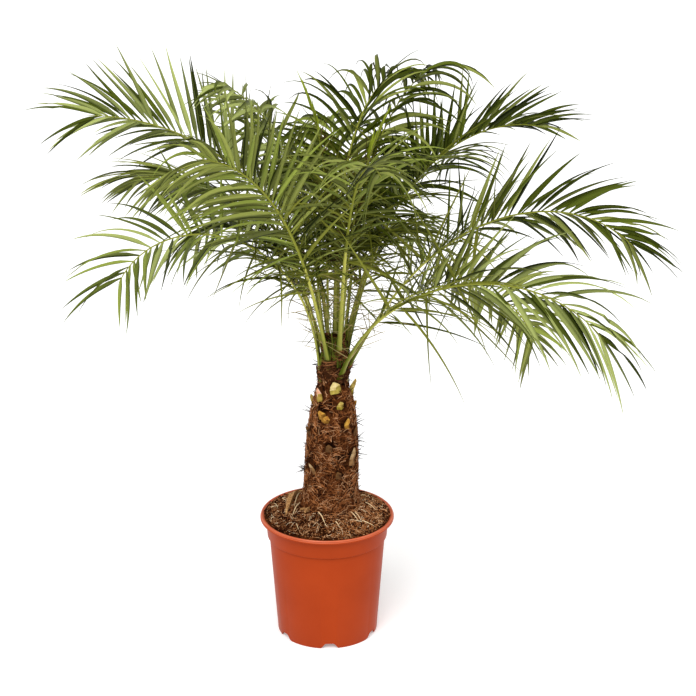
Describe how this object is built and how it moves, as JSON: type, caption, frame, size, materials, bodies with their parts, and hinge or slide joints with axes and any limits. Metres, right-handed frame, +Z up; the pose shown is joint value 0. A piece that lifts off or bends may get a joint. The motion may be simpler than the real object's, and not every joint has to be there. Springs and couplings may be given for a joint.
{
  "type": "potted pygmy date palm",
  "caption": "Pygmy date palm with arching feather fronds and a fibrous trunk, growing in a round terracotta-coloured plastic nursery pot.",
  "frame": {"origin": "middle of the flat underside of the pot, on the ground", "axes": "+Z up the trunk, +X to the right and +Y away from the viewer in the picture"},
  "size_m": [1.1197, 0.9104, 1.0712],
  "materials": {
    "pot_plastic": "satin moulded plastic, terracotta orange",
    "potting_soil": "loose peat and bark compost with pale roots",
    "trunk_fibre": "rough brown leaf-base fibre with cut stubs",
    "leaf": "glossy green leaflets on yellow-green ribs",
    "young_leaf": "paler, half-opened young leaflets"
  },
  "bodies": {
    "root": {"frond_back_left": "leaf", "frond_back_low_left_inner": "leaf", "frond_back_low_left_outer": "leaf", "frond_back_low_right_inner": "leaf", "frond_back_low_right_outer": "leaf", "frond_back_mid": "leaf", "frond_back_right": "leaf", "frond_back_top": "leaf", "frond_front": "leaf", "frond_heart_left": "young_leaf", "frond_heart_right": "young_leaf", "frond_left_behind_inner": "leaf", "frond_left_behind_outer": "leaf", "frond_left_front": "leaf", "frond_left_long": "leaf", "frond_left_low_inner": "leaf", "frond_left_low_outer": "leaf", "frond_right_behind_inner": "leaf", "frond_right_behind_outer": "leaf", "frond_right_high": "leaf", "frond_right_low_inner": "leaf", "frond_right_low_outer": "leaf", "frond_right_mid_inner": "leaf", "frond_right_mid_outer": "leaf", "frond_top_left": "leaf", "frond_top_right": "leaf", "pot": "pot_plastic", "soil": "potting_soil", "trunk": "trunk_fibre"}
  },
  "joints": []
}
